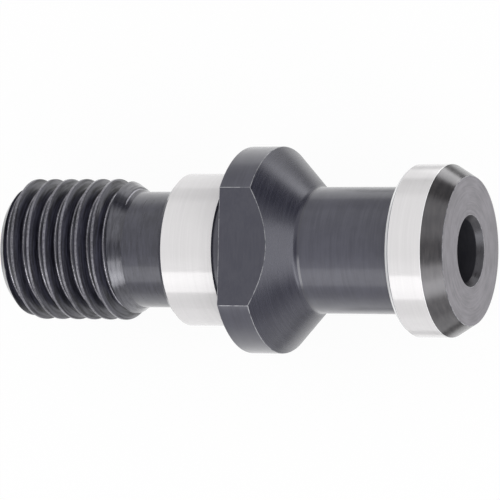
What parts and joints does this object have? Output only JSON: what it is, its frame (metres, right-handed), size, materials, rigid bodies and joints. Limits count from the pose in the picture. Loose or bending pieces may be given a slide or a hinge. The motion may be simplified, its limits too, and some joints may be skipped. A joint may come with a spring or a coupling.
{
  "type": "pull stud",
  "caption": "Turned steel retention stud with a gripping head and neck, a flange with two wrench flats, a ground pilot, a coarse screw thread and a coolant bore.",
  "frame": {"origin": "on the stud's axis, at the flange's rear face, which seats on the tool holder", "axes": "+X along the axis towards the gripping head, +Z square to the upper wrench flat, +Y across the flange's full diameter"},
  "size_m": [0.0545, 0.023, 0.019],
  "materials": {
    "black_oxide_steel": "case-hardened steel with a satin black oxide, ground bright on the pilot and the head's rim"
  },
  "bodies": {
    "root": {"pull_stud": "black_oxide_steel"}
  },
  "joints": []
}
